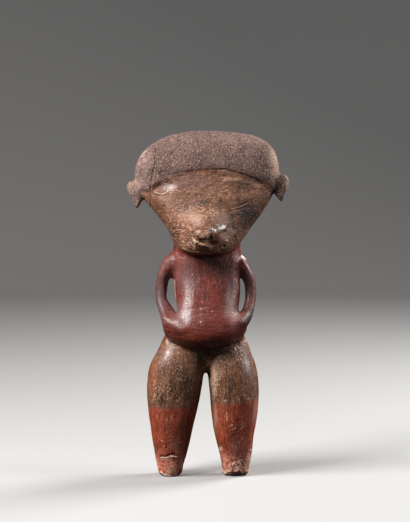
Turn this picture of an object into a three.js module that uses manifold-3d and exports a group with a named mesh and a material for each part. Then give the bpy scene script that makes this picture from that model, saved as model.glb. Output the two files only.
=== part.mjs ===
// A standing terracotta figure, modelled in clay and fired in one piece: a broad heart-shaped head with a
// raised cap of hair and tab ears, a muzzle with nose and mouth, arms that arch down to the belly and leave
// a slot on each side, and two bulbous legs that taper to stub feet.
// Millimetres, +Z up. The figure looks along -Y, and +X is to the right of someone who faces it.

import * as THREE from 'three';
import { mergeVertices } from 'three/addons/utils/BufferGeometryUtils.js';
import Module from 'manifold-3d';

const wasm = await Module();
wasm.setup();

// Driving dimensions
const HEIGHT = 239.6;
const EAR_LEVEL = 207; // where the head is widest and the dome of hair begins
const CROWN_SHIFT = 3; // the crown leans a little to the right
const HAIR_RISE = 1.4; // how far the cap of hair stands proud of the face
const HAIRLINE = { x: 5, z: 144.5, radius: 70, sides: 120 }; // the arc that the hair follows over the face
const HAIR_EDGE = 199; // the hair stops here beside the face and at the ears
const NAPE = { x: 1.5, halfWidth: 44, drop: 17, sides: 64 }; // the rounded fall of the hair at the back
const CROTCH = { middle: [0, 2, 86], half: [12, 11, 14.5] };

// Superellipse exponents: 2 is an ellipse, and more is squarer.
const DOME_FRONT_POWER = 2.45;
const DOME_SIDE_POWER = 2.2;
const HEAD_POWER = 2.15;
const TORSO_POWER = 2.45;
const LEG_POWER = 2.1;
const EAR_POWER = 2.3;

// A station of a body part is one level section of it: height, middle (x, y), and how far the section
// reaches sideways, to the front and to the back of that middle.
const HEAD = [
  // height, x, y, half width, front, back
  [155, 0.5, -13, 7, 6, 6],
  [156.2, 0.5, -11, 13.5, 12, 9],
  [158.6, 0.7, -8, 19, 18, 14],
  [162.4, 1.1, -4, 23.6, 22.6, 17],
  [168, 1.8, -1, 27.2, 25.5, 16],
  [174, 1.9, 1, 30.8, 26.4, 16],
  [182, 1.9, 2, 37, 24.5, 17],
  [190, 1.7, 2, 42.2, 22.5, 18.5],
  [198, 1.4, 2.5, 46.6, 21, 20],
  [EAR_LEVEL, 1.5, 3, 49, 21, 20.5],
];
// Soft mounds that swell out of the front of the head: the muzzle, and the broad jaw under it.
const MOUNDS = [
  // x, height, half width, half height, rise
  [1.2, 176, 18, 18, 7],
  [1, 172, 28, 24, 1.6],
];
const TORSO = [
  [90, 0.5, -2, 13, 13.4, 14.4],
  [92.8, 0.3, -2, 20.6, 19.2, 19.4],
  [96.6, 0.1, -3, 26, 22.2, 21.4],
  [101, 0.1, -4.5, 28.7, 22.6, 22.5],
  [105.6, 0.2, -5, 29.3, 22.2, 21.6],
  [109.6, 0.4, -4.5, 27, 21.8, 20],
  [114, 0.7, -3, 23, 21.4, 17.8],
  [120, 0.9, -1, 22, 20.4, 15.5],
  [128, 0.9, 0, 22.2, 18, 14],
  [136, 0.9, 0, 22.6, 15.4, 14],
  [144, 0.7, 0, 23.7, 14.2, 14.4],
  [152, 0.6, 0, 24.6, 13.8, 14.6],
  [160, 1, 0, 23.7, 12.4, 13.8],
  [166, 1.1, 0, 23.4, 11, 13.4],
  [171, 1.2, 0, 20, 9, 11],
];
// The legs share their depths, and each has its own middle and half width.
const LEGS = [
  // height, left x, left half width, right x, right half width, y, front, back
  [0, -24, 7, 21.2, 7.8, -0.5, 8.9, 8.5],
  [1.3, -24, 8.1, 21.2, 8.6, -0.5, 9.9, 9.4],
  [4, -24, 8.7, 21.2, 8.9, -0.5, 10.4, 9.8],
  [9.4, -23.9, 9.9, 21.1, 9.7, -0.5, 11.1, 10.6],
  [14.9, -23.7, 11.2, 20.9, 10.6, -0.5, 12.1, 11.8],
  [26, -23.3, 13.5, 20.2, 12.9, 0, 14.1, 14.2],
  [37, -22.8, 15.5, 20, 15, 0.5, 15.9, 16.2],
  [48, -22.1, 17.7, 20, 16, 1, 17.5, 18],
  [59, -21.3, 19, 19.8, 16.8, 1, 18.3, 19.5],
  [70, -20.1, 19.4, 19.2, 17.2, 1, 18.3, 21.4],
  [80, -18.9, 18.9, 17.7, 16.9, 1, 17.5, 22.8],
  [88, -16.4, 17.7, 14.8, 16.8, 1, 15.5, 22.2],
  [94, -13.8, 16.8, 13.2, 16.2, 1, 13.3, 19.8],
  [99, -11.2, 15.4, 11.2, 15.2, 1, 10.4, 15.6],
  [104, -8, 10, 8, 10, 1, 6, 10],
];

// The left arm as points on its centre line with its radius there, from the shoulder to the hand. The right
// arm is its mirror image, a little thinner.
const ARM = [
  // x, y, z, radius
  [-13, 0, 152.2, 7.6],
  [-19.6, -0.6, 150, 7.6],
  [-24.8, -0.8, 145.6, 6.4],
  [-28.6, -0.8, 139.2, 5],
  [-30.1, -0.8, 132.4, 4.3],
  [-30.2, -1.6, 126, 4.1],
  [-29.8, -3.8, 120.4, 4.1],
  [-28, -8, 114, 4.9],
  [-25.3, -12.6, 109.6, 5.6],
  [-21.6, -16.6, 107.8, 5.4],
  [-17, -20, 107.2, 4.4],
  [-12.4, -22, 107.2, 2.8],
];
const RIGHT_ARM = { mirrorX: 0.5, thickness: 0.93 };

// An ear is a tab with a round upper lobe that narrows down to a blunt tip, given from the tip up.
const EAR = [
  // height, outward, half width, half thickness
  [0, 0, 0.8, 1],
  [1.8, -0.1, 2, 2.1],
  [4.6, -0.3, 3.2, 2.7],
  [7.6, 0, 4.7, 3],
  [10.6, 1.1, 5.6, 3.2],
  [14.2, 1.9, 5.6, 3.2],
  [16.8, 2.7, 4.3, 2.9],
  [18.4, 3.3, 2.6, 2.1],
  [19.2, 3.7, 0.8, 0.8],
];
const EAR_Y = -1.5;
// Each ear's side, the place of its tip, how it leans outward, and the hollow in its front.
const LEFT_EAR = { side: -1, x: 46.9, z: 186, lean: 0, hollow: [-48.6, -5.4, 196.6], size: [3.6, 1.5, 0.8] };
const RIGHT_EAR = { side: 1, x: 52.8, z: 190.8, lean: -0.12, hollow: [52.6, -5.6, 200], size: [2, 2.4, 6] };

// The face: middles and half lengths. Each eye is a long shallow hollow, turned to lie along the cheek.
const NOSE = { middle: [-0.6, -31.8, 171.5], half: [7.4, 4.6, 4.8] };
const NOSTRILS = { x: [-4.2, 3.2], y: -35, z: 168.8, half: [1.2, 2.4, 1.3] };
const MOUTH = { middle: [0.6, -28.8, 163.8], half: [8.4, 2.4, 1.3] };
const EYE_HALF = [19, 5, 7.4];
const EYES = [
  { middle: [-28, -18, 201.4], turn: -0.4 },
  { middle: [30.4, -18, 202], turn: 0.4 },
];

// The break under the right toes: where it starts on the sole, its slant, and the bites in its ragged edge.
const BREAK = { x: 21, width: 30, depth: 14, height: 6, start: -3, slant: -0.36, flatness: 0.7 };
const BITES = [
  // x, y, z, size
  [14.2, -8.6, 1, 2.6],
  [20.2, -11.6, 1.4, 3.4],
  [27.4, -9, 1.6, 3.2],
];

// How many sides and levels each form is built with
const HEAD_GRID = { sides: 44, levels: 13 };
const DOME_LEVELS = 9;
const DOME_STOP = 0.6; // how far short of the crown the last level of the dome stays, in levels
const TORSO_GRID = { sides: 34, levels: 18 };
const LEG_GRID = { sides: 26, levels: 17 };
const ARM_GRID = { sides: 12, levels: 14 };
const EAR_GRID = { sides: 12, levels: 10 };
const ROUND = { segments: 16, rows: 10 };

// A closed surface from a stack of rings that all have the same number of points.
function skin(rings) {
  const sides = rings[0].length;
  const middle = (ring) => ring.reduce((sum, p) => sum.add(p), new THREE.Vector3()).divideScalar(sides);
  const points = [...rings.flat(), middle(rings[0]), middle(rings.at(-1))];
  const first = rings.length * sides;
  const last = first + 1;
  const top = (rings.length - 1) * sides;
  const faces = [];
  for (let i = 0; i < sides; i++) {
    const next = (i + 1) % sides;
    faces.push(first, next, i);
    for (let here = 0; here < top; here += sides) {
      const above = here + sides;
      faces.push(here + i, here + next, above + next);
      faces.push(here + i, above + next, above + i);
    }
    faces.push(last, top + i, top + next);
  }
  return new THREE.BufferGeometry().setFromPoints(points).setIndex(faces);
}

// A smooth curve through points given as coordinates.
function curve(points) {
  const places = points.map((p) => new THREE.Vector3(...p));
  return new THREE.CatmullRomCurve3(places, false, 'catmullrom', 0.5);
}

// One level ring: a superellipse whose front and back depths differ.
function ring([height, x, y, halfWidth, front, back], sides, exponent) {
  const rounded = (value) => Math.sign(value) * Math.abs(value) ** (2 / exponent);
  return Array.from({ length: sides }, (_, i) => {
    const angle = (i / sides) * 2 * Math.PI;
    const depth = Math.sin(angle) < 0 ? front : back;
    const across = halfWidth * rounded(Math.cos(angle));
    return new THREE.Vector3(x + across, y + depth * rounded(Math.sin(angle)), height);
  });
}

// Stations drawn out to a smooth stack of the given number of levels.
function smoothed(stations, levels) {
  const places = curve(stations.map((s) => s.slice(0, 3)));
  const sizes = curve(stations.map((s) => s.slice(3)));
  return Array.from({ length: levels + 1 }, (_, i) => [
    ...places.getPoint(i / levels).toArray(),
    ...sizes.getPoint(i / levels).toArray(),
  ]);
}

function loft(stations, { sides, levels }, exponent) {
  return skin(smoothed(stations, levels).map((station) => ring(station, sides, exponent)));
}

// The dome of the head above its widest station, as stations up to just under the crown.
function dome([, x, y, halfWidth, front, back]) {
  const rise = HEIGHT - EAR_LEVEL;
  const step = Math.PI / 2 / (DOME_LEVELS + DOME_STOP);
  return Array.from({ length: DOME_LEVELS }, (_, i) => {
    const share = Math.sin(step * (i + 1)) ** (2 / DOME_FRONT_POWER);
    const across = (1 - share ** DOME_FRONT_POWER) ** (1 / DOME_FRONT_POWER);
    const along = (1 - share ** DOME_SIDE_POWER) ** (1 / DOME_SIDE_POWER);
    const middle = x + CROWN_SHIFT * share ** 2;
    return [EAR_LEVEL + rise * share, middle, y, halfWidth * across, front * along, back * along];
  });
}

// The head, swollen by its mounds, and grown all round by the given rise.
function headSolid(rise) {
  const grown = HEAD.map(([z, x, y, ...sizes]) => [z, x, y, ...sizes.map((size) => size + rise)]);
  const stack = [...smoothed(grown, HEAD_GRID.levels), ...dome(grown.at(-1))];
  const rings = stack.map((station) => ring(station, HEAD_GRID.sides, HEAD_POWER));
  return solid(skin(rings.map((points) => points.map(swollen))));
}

// A point on the front of the head, pushed forward by the mounds it lies on.
function swollen(point) {
  if (point.y >= 0) return point;
  for (const [x, z, halfWidth, halfHeight, rise] of MOUNDS) {
    const reach = Math.hypot((point.x - x) / halfWidth, (point.z - z) / halfHeight);
    if (reach < 1) point.y -= rise * (1 - reach ** 2) ** 2;
  }
  return point;
}

// A round limb along a curve through its joints.
function limb(joints, { sides, levels }) {
  const line = curve(joints.map((joint) => joint.slice(0, 3)));
  const radii = curve(joints.map(([, , , radius]) => [radius, 0, 0]));
  const forward = new THREE.Vector3(0, 1, 0);
  return skin(
    Array.from({ length: levels + 1 }, (_, r) => {
      const share = r / levels;
      const along = line.getTangent(share);
      const across = new THREE.Vector3().crossVectors(forward, along).normalize();
      const up = new THREE.Vector3().crossVectors(along, across);
      const radius = radii.getPoint(share).x;
      return Array.from({ length: sides }, (_, i) => {
        const angle = (i / sides) * 2 * Math.PI;
        return line
          .getPoint(share)
          .addScaledVector(across, radius * Math.cos(angle))
          .addScaledVector(up, radius * Math.sin(angle));
      });
    }),
  );
}

// An ellipsoid by its middle and its half lengths, turned about the upright axis through its middle.
function ellipsoid([x, y, z], [a, b, c], turn = 0) {
  const ball = new THREE.SphereGeometry(1, ROUND.segments, ROUND.rows);
  return ball.scale(a, b, c).rotateZ(turn).translate(x, y, z);
}

function box([x0, y0, z0], [x1, y1, z1]) {
  const block = new THREE.BoxGeometry(x1 - x0, y1 - y0, z1 - z0);
  return block.translate((x0 + x1) / 2, (y0 + y1) / 2, (z0 + z1) / 2);
}

// A geometry as a solid that can be joined and cut.
function solid(geometry) {
  geometry.deleteAttribute('normal');
  geometry.deleteAttribute('uv');
  const merged = mergeVertices(geometry, 1e-4);
  return new wasm.Manifold(
    new wasm.Mesh({
      numProp: 3,
      vertProperties: new Float32Array(merged.attributes.position.array),
      triVerts: new Uint32Array(merged.index.array),
    }),
  );
}

function geometryOf(made) {
  const { vertProperties, triVerts } = made.getMesh();
  const geometry = new THREE.BufferGeometry();
  geometry.setAttribute('position', new THREE.BufferAttribute(new Float32Array(vertProperties), 3));
  geometry.setIndex(new THREE.BufferAttribute(new Uint32Array(triVerts), 1));
  return geometry;
}

// The hair: the whole head, a little fatter, less the face under its arc and, behind, all below the nape.
function hair() {
  const wide = 80; // reaches past the head on every side
  const { x, z, radius, sides } = HAIRLINE;
  const opening = new THREE.CylinderGeometry(radius, radius, wide, sides).translate(x, -wide / 2, z);
  const besideFace = box([-wide, -wide, 0], [wide, 1, HAIR_EDGE]);
  const underEdge = box([-wide, 0, 0], [wide, wide, HAIR_EDGE]);
  const nape = new THREE.CylinderGeometry(1, 1, 2 * wide, NAPE.sides)
    .scale(NAPE.halfWidth, 1, NAPE.drop)
    .translate(NAPE.x, 0, HAIR_EDGE);
  return headSolid(HAIR_RISE)
    .subtract(solid(opening))
    .subtract(solid(besideFace))
    .subtract(solid(underEdge).subtract(solid(nape)));
}

// The head with its button of a nose, two nostrils, the mouth under it, and the hollows of the eyes.
function face(head) {
  const nostrils = NOSTRILS.x.map((x) => ellipsoid([x, NOSTRILS.y, NOSTRILS.z], NOSTRILS.half));
  const eyes = EYES.map(({ middle, turn }) => ellipsoid(middle, EYE_HALF, turn));
  const hollows = [...nostrils, ...eyes, ellipsoid(MOUTH.middle, MOUTH.half)];
  return hollows.reduce(
    (carved, hollow) => carved.subtract(solid(hollow)),
    head.add(solid(ellipsoid(NOSE.middle, NOSE.half))),
  );
}

function ear({ side, x, z, lean, hollow, size }) {
  const stations = EAR.map(([height, outward, halfWidth, halfThickness]) => {
    const middle = side * (x + outward + lean * height);
    return [z + height, middle, EAR_Y, halfWidth, halfThickness, halfThickness];
  });
  return solid(loft(stations, EAR_GRID, EAR_POWER)).subtract(solid(ellipsoid(hollow, size)));
}

function arms() {
  const { mirrorX, thickness } = RIGHT_ARM;
  const mirrored = ARM.map(([x, y, z, radius]) => [2 * mirrorX - x, y, z, radius * thickness]);
  return solid(limb(ARM, ARM_GRID)).add(solid(limb(mirrored, ARM_GRID)));
}

function legs() {
  const left = LEGS.map(([z, x, half, , , ...depth]) => [z, x, depth[0], half, depth[1], depth[2]]);
  const right = LEGS.map(([z, , , x, half, ...depth]) => [z, x, depth[0], half, depth[1], depth[2]]);
  return solid(loft(left, LEG_GRID, LEG_POWER))
    .add(solid(loft(right, LEG_GRID, LEG_POWER)))
    .add(solid(ellipsoid(CROTCH.middle, CROTCH.half)));
}

// The clay lost from under the front of the right foot.
function brokenToe() {
  const { x, width, depth, height, start, slant, flatness } = BREAK;
  const wedge = new THREE.BoxGeometry(width, depth, height)
    .translate(0, -depth / 2, -height / 2)
    .rotateX(slant)
    .translate(x, start, 0);
  const bites = BITES.map(([bx, by, bz, size]) => ellipsoid([bx, by, bz], [size, size, size * flatness]));
  return bites.reduce((lost, bite) => lost.add(solid(bite)), solid(wedge));
}

function figure() {
  return face(headSolid(0))
    .add(hair())
    .add(ear(LEFT_EAR))
    .add(ear(RIGHT_EAR))
    .add(solid(loft(TORSO, TORSO_GRID, TORSO_POWER)))
    .add(arms())
    .add(legs())
    .subtract(brokenToe());
}

// Clay and red slip, as their colours average out over the figure
const clay = new THREE.MeshStandardMaterial({ color: 0x8a5f4c, roughness: 0.55, metalness: 0 });
const mesh = new THREE.Mesh(geometryOf(figure()), clay);
mesh.name = 'figure';

// The origin is the middle of the figure's bounding box, on the ground.
mesh.geometry.computeBoundingBox();
const { min, max } = mesh.geometry.boundingBox;
mesh.geometry.translate(-(min.x + max.x) / 2, -(min.y + max.y) / 2, -min.z);

const part = new THREE.Group();
part.add(mesh);

export default part;
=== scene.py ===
"""A standing terracotta figure, dressed for a studio picture.

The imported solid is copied, its facets are smoothed away, and its surface is sculpted in millimetres. Marks
are given in the photograph's pixels, and the camera tells which points of the surface they touch.
"""

import math

import bpy
import numpy as np
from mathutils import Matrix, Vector


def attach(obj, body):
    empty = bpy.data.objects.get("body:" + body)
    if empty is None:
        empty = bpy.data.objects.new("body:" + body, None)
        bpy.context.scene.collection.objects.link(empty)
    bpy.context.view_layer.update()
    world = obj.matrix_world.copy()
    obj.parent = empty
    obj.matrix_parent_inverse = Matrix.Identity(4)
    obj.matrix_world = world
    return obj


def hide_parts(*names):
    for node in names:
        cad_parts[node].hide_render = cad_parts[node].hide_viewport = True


MM = 0.001

# The camera: a long lens far back, as in the photograph. The picture is in pixels, the lens and its sensor in
# millimetres, the distance and the aim in metres.
PICTURE = (410, 522)
LENS, SENSOR = 130, 36
DISTANCE = 1.3
AIM = Vector((-0.002, 0.0, 0.150))
ELEVATION = math.radians(4.5)

# How fine the surface is: its grid in millimetres, the rounds of smoothing, and the triangles it ends with
VOXEL = 0.9
ROUNDS = 26
TRIANGLES = 192000

# Places on the figure, in millimetres from the middle of its base
MIDDLE_X = -1.4
HAIRLINE = {"x": 2.9, "z": 144.5, "radius": 70.0}
HAIR_EDGE = 199.0
TEMPLE_DROP = 9.5
HAIR_SIDE = (-0.25, 13.75)
NAPE = {"x": -0.6, "half_width": 44.0, "drop": 17.0}
EARS = [(-51.0, 4.2, 196.0), (52.6, 4.2, 201.0)]
EAR_REACH = 10.5
EAR_ROOT = (44.5, 46.0)
EAR_GRAIN = (12.5, 11.5)
NOSE = (-2.7, -27.0, 170.0)
CHIN = {"low": 155.5, "high": 162.0, "front": -11.5, "back": 3.0}
HIPS = {"low": 90.0, "rise": 10.0, "reach": 29.0, "right": 1.5, "across": (-5.0, 20.0)}
SHINS = {"left": 49.0, "right": 52.6, "slope": 0.12, "right_x": 17.0}
FEET = {"left": 12.5, "right": 16.5, "spread": 6.0}
SOLE_TOP = 8.0
# The face in the photograph's pixels: its middle, and half its width and height
FEATURES = ((204.0, 218.0), (58.0, 48.0))


def ramp(value, low, high):
    """0 below low, 1 above high, and a smooth rise between them. It falls instead if high is the lower."""
    share = np.clip((value - low) / (high - low), 0.0, 1.0)
    return share * share * (3.0 - 2.0 * share)


def bump(value, reach):
    """1 where value is 0, falling smoothly to 0 at reach on either side."""
    share = np.clip(1.0 - (value / reach) ** 2, 0.0, 1.0)
    return share * share


# Repeatable noise

def hashed(cells, seed):
    """A value from -1 to 1 for each whole-number cell."""
    x, y, z = (cells[:, axis].astype(np.uint32) for axis in range(3))
    mixed = x * np.uint32(374761393) + y * np.uint32(668265263) + z * np.uint32(1440662683)
    mixed = mixed + np.uint32(seed * 2246822519 % 2**32)
    mixed = (mixed ^ (mixed >> np.uint32(13))) * np.uint32(1274126177)
    mixed = (mixed ^ (mixed >> np.uint32(15))) * np.uint32(2654435769)
    return (mixed ^ (mixed >> np.uint32(16))) / 2.0**31 - 1.0


def noise(points, size, seed):
    """Smooth noise from -1 to 1 with lumps of the given size, one number or one for each axis."""
    place = points / np.asarray(size, float)
    cells = np.floor(place)
    part = place - cells
    part = part * part * (3.0 - 2.0 * part)
    cells = cells.astype(np.int64)
    total = np.zeros(len(points))
    for corner in np.ndindex(2, 2, 2):
        share = np.prod(np.where(corner, part, 1.0 - part), axis=1)
        total += share * hashed(cells + corner, seed)
    return total


def rough(points, size, seed, octaves=3):
    """Noise with finer and fainter noise on it."""
    total = sum(noise(points, np.asarray(size) / 2**k, seed + k) / 2**k for k in range(octaves))
    return total / (2.0 - 2.0 ** (1 - octaves))


# The photograph's frame

def camera_place():
    back = Vector((0.0, -math.cos(ELEVATION), math.sin(ELEVATION)))
    return AIM + back * DISTANCE, back


def seen(points):
    """Where the camera sees points given in millimetres: pixels from the left and from the top."""
    eye, back = (np.array(v) for v in camera_place())
    right = np.array((1.0, 0.0, 0.0))
    up = np.cross(back, right)
    away = points * MM - eye
    focal = LENS / SENSOR * max(PICTURE)
    depth = -(away @ back)
    across = PICTURE[0] / 2 + focal * (away @ right) / depth
    down = PICTURE[1] / 2 - focal * (away @ up) / depth
    return np.stack((across, down), axis=1)


def facing_camera(out, none=0.0, full=0.15):
    """1 where the surface turns to the camera and 0 where it turns away."""
    _, back = camera_place()
    return ramp(out @ np.array(back), none, full)


def from_path(place, path):
    """How far each place is from a line of points."""
    nearest = np.full(len(place), np.inf)
    path = np.asarray(path, float)
    for start, end in zip(path[:-1], path[1:]):
        step = end - start
        share = np.clip((place - start) @ step / np.hypot(*step) ** 2, 0.0, 1.0)
        gap = np.hypot(*(place - start - share[:, None] * step).T)
        nearest = np.minimum(nearest, gap)
    return nearest


def oval(place, middle, half):
    """How far each place lies from the middle of an oval: 0 in the middle and 1 on the edge."""
    return np.hypot(*((place - middle) / half).T)


# Meshes as arrays

def listed(items, field, kind, width):
    """A field of all the items as an array with `width` columns."""
    values = np.empty(len(items) * width, kind)
    items.foreach_get(field, values)
    return values.reshape(-1, width)


def positions(mesh):
    """The vertices' places in millimetres."""
    return listed(mesh.vertices, "co", np.float32, 3).astype(float) / MM


def place_vertices(mesh, points):
    mesh.vertices.foreach_set("co", (points * MM).astype(np.float32).ravel())
    mesh.update()


def normals(mesh):
    return listed(mesh.vertex_normals, "vector", np.float32, 3).astype(float)


def placed(name, data):
    """A new object in the scene."""
    thing = bpy.data.objects.new(name, data)
    bpy.context.scene.collection.objects.link(thing)
    return thing


def apply_modifiers(piece):
    graph = bpy.context.evaluated_depsgraph_get()
    made = bpy.data.meshes.new_from_object(piece.evaluated_get(graph))
    piece.modifiers.clear()
    piece.data = made


def relaxed(values, pairs, rounds, weight):
    """Values drawn towards their neighbours' mean, again and again, as far as each point's weight says."""
    count = len(values)
    first, second = pairs.T
    degree = np.bincount(first, minlength=count) + np.bincount(second, minlength=count)
    values = values.copy()
    pull = (weight / 2.0)[:, None]
    for _ in range(rounds):
        sums = [
            np.bincount(first, column[second], count) + np.bincount(second, column[first], count)
            for column in values.T
        ]
        values += pull * (np.stack(sums, axis=1) / degree[:, None] - values)
    return values


def smooth_facets(mesh, weight, rounds):
    """Takes the facets out of a mesh and gives back the slow bending that the smoothing took with them."""
    points = positions(mesh)
    pairs = listed(mesh.edges, "vertices", np.int32, 2)
    soft = relaxed(points, pairs, rounds, weight)
    lost = relaxed(points - soft, pairs, 2 * rounds, np.ones(len(points)))
    place_vertices(mesh, soft + lost * weight[:, None])


# Small forms at which facets are smoothed less: the share that each holds back or the least that is left, how
# far round it that goes, and from where to where it lies, all in millimetres
HELD = {"hairline": 0.35, "arms": 0.6, "feet": 0.85}
LEAST = {"ears": 0.2, "nose": 0.25}
AROUND = {"hairline": 4.0, "ears": 4.0, "nose": (9.0, 14.0)}
NOSE_SHAPE = (1.2, 1.0, 1.0)
HAIR_FRONT = {"y": (10.0, 4.0), "z": (192.0, 197.0)}
ARMS = {"low": (114.0, 118.0), "high": (156.0, 152.0), "out": (20.0, 22.0)}
TOES = (9.0, 3.0)


def hair_arc(points):
    """How far a point lies above the arc of the hairline, in millimetres, seen from the front."""
    return np.hypot(points[:, 0] - HAIRLINE["x"], points[:, 2] - HAIRLINE["z"]) - HAIRLINE["radius"]


def facet_weight(points):
    """How fully the facets are smoothed at each point, from 0 to 1."""
    x, y, z = points.T
    front = ramp(y, *HAIR_FRONT["y"]) * ramp(z, *HAIR_FRONT["z"])
    weight = 1.0 - HELD["hairline"] * front * bump(hair_arc(points), AROUND["hairline"])
    for ear in EARS:
        gap = np.linalg.norm(points - ear, axis=1)
        clear = ramp(gap, EAR_REACH, EAR_REACH + AROUND["ears"])
        weight = np.minimum(weight, LEAST["ears"] + (1.0 - LEAST["ears"]) * clear)
    gap = np.linalg.norm((points - NOSE) / NOSE_SHAPE, axis=1)
    clear = ramp(gap, *AROUND["nose"])
    weight = np.minimum(weight, LEAST["nose"] + (1.0 - LEAST["nose"]) * clear)
    arms = ramp(z, *ARMS["low"]) * ramp(z, *ARMS["high"]) * ramp(abs(x - MIDDLE_X), *ARMS["out"])
    weight = np.minimum(weight, 1.0 - HELD["arms"] * arms)
    return np.minimum(weight, 1.0 - HELD["feet"] * ramp(z, *TOES))


# Marks along lines, where the photograph shows them: the line in its pixels, how many pixels to each side the
# mark reaches, how far it raises the surface in millimetres, and how dark and how pale it makes it
LINES = [
    # the vertical hairline crack through the hair and the left cheek
    ([(156.2, 149), (154.8, 157), (154.9, 165), (152.9, 172), (151.2, 180)], 0.9, -0.55, 0.75, 0),
    ([(150.9, 183), (150.2, 190), (150.6, 197), (150.1, 202), (150.8, 207)], 0.8, -0.35, 0.6, 0),
    # worn curls of the hair on the left
    ([(141, 157), (142.8, 153.4), (146.2, 151.2)], 1, 0.3, 0, 0.55),
    ([(143.8, 161.4), (147.2, 160), (149.2, 156.4)], 1, 0.3, 0, 0.45),
    ([(138.6, 165.6), (140.2, 162)], 1, 0.25, 0, 0.4),
    # the line under the hair, deep at both ends and faint in the middle: painted shade under its edge
    ([(152.5, 187.5), (155.5, 183.5), (159.3, 180), (164, 176.8), (170, 174.4)], 1, -0.15, 0.25, 0),
    ([(170, 174.4), (184, 171.8), (200, 170.4), (212, 169.6)], 1, -0.22, 0.28, 0),
    ([(212, 169.6), (226, 169.6), (236.7, 172.5), (246.7, 175.6), (258, 180.4)], 1.3, -0.42, 0.5, 0),
    # the left eye: the ridge of its lower lid, paled as a painted highlight,
    # and the groove beneath, darkened as painted shade
    ([(154.6, 192.4), (157.5, 193.7), (161.4, 194.4), (165, 193.6), (168.4, 191.6)], 1, 0.32, 0, 0.45),
    ([(154.4, 194.8), (157.5, 196), (161.5, 196.6), (165.5, 195.6)], 1.1, -0.12, 0.1, 0),
    # the brow over the right eye, paled as a painted highlight, the eye's lower edge, darkened as painted
    # shade, and the swelling under it
    ([(226, 180), (238, 180.5), (249, 182.5), (259, 187)], 4, 0.6, 0, 0.25),
    ([(232, 185.2), (241, 187.4), (250, 191.2)], 1.2, -0.25, 0.25, 0),
    ([(229, 197.5), (243, 199.5), (257, 196)], 3, 0.2, 0, 0),
    # strokes of a tool on the right cheek: painted shade in the grooves, a painted highlight on the ridge
    ([(232.5, 207.6), (240, 205.2), (247.5, 202.2)], 0.8, -0.4, 0.3, 0),
    ([(232, 209.4), (240, 207), (248, 203.6)], 0.7, 0.2, 0, 0.3),
    ([(229.5, 211.4), (236, 209.6), (243, 207.6), (249, 204.6)], 0.8, -0.34, 0.25, 0),
    ([(231, 190), (243, 193), (254, 192.4)], 0.9, -0.14, 0.15, 0),
    # the valley over the muzzle, faintly darkened as painted shade
    ([(188, 210), (194, 206.5), (203, 204.5), (214, 205), (223, 208)], 5.5, -0.45, 0.12, 0),
    # the valley that ends the muzzle on the right, the bright ridge at the nose's end and the fold under it;
    # the valley and the fold are darkened as painted shade
    ([(222, 204), (230, 211), (233.5, 218), (233, 227)], 7, -1.35, 0.35, 0),
    ([(213.6, 232.2), (218.5, 229.6), (225, 226)], 5.6, 0.42, 0, 0),
    ([(214.6, 237), (220, 234.8), (226.6, 231.6)], 1.4, -0.16, 0.25, 0),
    # over and under the nose: painted shade in the grooves over its roll and under it
    ([(193.4, 236.5), (192.8, 233), (194.6, 230.2), (199.5, 228.4), (206, 229), (211, 231)],
     1.4, -0.36, 0.45, 0),
    ([(192.6, 233), (193.8, 236.6), (197, 239.4), (201.4, 240.4), (207, 240.4), (212, 239.2)],
     1.1, -0.5, 0.55, 0),
    # the upper lip, a ridge down from its corner and the rim of the chin, paled as painted highlights
    ([(193.2, 240.2), (196.2, 242), (200.2, 243.2), (205.5, 243.8)], 1.2, 0.34, 0, 0.8),
    ([(194.2, 240.2), (194.9, 244.5), (194.4, 248.6)], 1.1, 0.2, 0, 0.8),
    ([(183, 248.6), (190, 251.4), (201, 253), (212, 252.6), (219, 250)], 1.5, 0.45, 0, 0.15),
    # the crack across the left foot and its raised lower lip, which is paled as a painted highlight
    ([(160.2, 456.4), (164.5, 456.8), (167.5, 456), (170.6, 454.6), (174, 453.9)], 0.9, -1.2, 1, 0),
    ([(173.6, 454), (175.6, 456)], 0.9, -0.6, 0.8, 0),
    ([(160, 457.7), (164.5, 458), (168.6, 457.3)], 0.7, 0.3, 0, 0.8),
    ([(170.6, 456.4), (173.4, 456.8), (177, 457.2)], 1.2, 0.35, 0, 1),
    # the ragged rims of both feet
    ([(160.8, 472.5), (163.5, 475), (168, 476.6), (174, 477), (179, 475.4), (182.4, 472)],
     2, 0.55, 0, 0.85),
    ([(222.6, 470.6), (228, 475.2), (231, 473.8), (236, 471.8), (240, 471.4), (242, 473),
      (247.4, 471)],
     1.7, 0.45, 0, 0.95),
    # the pale rim of the body beside the left slot: a painted rim of light
    ([(174.2, 280), (174.8, 290), (175.6, 300), (176.8, 311)], 1.1, 0.1, 0, 0.55),
    # the folds between the belly and the right thigh, and over the gap between the legs: painted shade
    ([(208.5, 376), (210.5, 364), (216.5, 353.5), (228, 347.5), (238, 344.5)], 4.5, -0.9, 0.45, 0),
    ([(168, 339), (180, 348), (194, 352.5), (206, 352)], 3.5, -0.35, 0.2, 0),
    # scratches on the chest and belly and on the right shin
    ([(189.5, 308.6), (199, 308.2), (206.5, 308.4)], 0.8, -0.18, 0.15, 0),
    ([(226.2, 411.5), (227, 420.5)], 0.8, -0.22, 0, 0.6),
    ([(240.6, 424), (242, 427.4)], 0.8, -0.14, 0, 0.3),
]
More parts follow.
